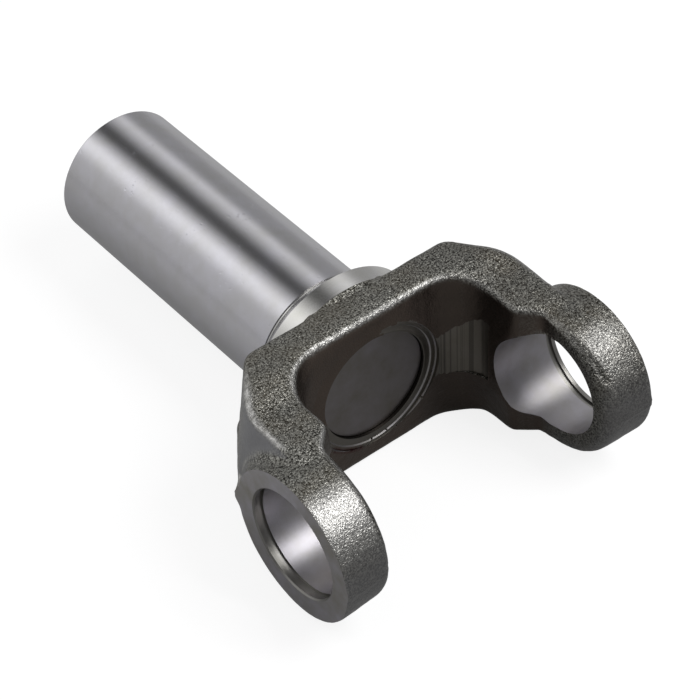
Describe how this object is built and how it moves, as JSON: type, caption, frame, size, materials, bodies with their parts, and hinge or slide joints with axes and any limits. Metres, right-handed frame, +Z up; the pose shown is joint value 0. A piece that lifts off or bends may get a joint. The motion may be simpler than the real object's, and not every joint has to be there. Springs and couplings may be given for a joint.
{
  "type": "slip yoke",
  "caption": "Forged steel slip yoke: a hollow splined barrel with a turned collar and a U-shaped fork whose ears are bored for bearing caps.",
  "frame": {"origin": "joint centre, where the axis of the bearing bores crosses the axis of the barrel", "axes": "+X along the bearing bores, +Y along the barrel towards its open splined end, +Z up, square to the fork"},
  "size_m": [0.098, 0.1621, 0.0512],
  "materials": {
    "forged_steel": "as forged skin, with ground barrel, turned collar and honed bores",
    "pressed_steel": "dull pressed sheet"
  },
  "bodies": {
    "root": {"yoke_forging": "forged_steel", "expansion_plug": "pressed_steel"}
  },
  "joints": []
}
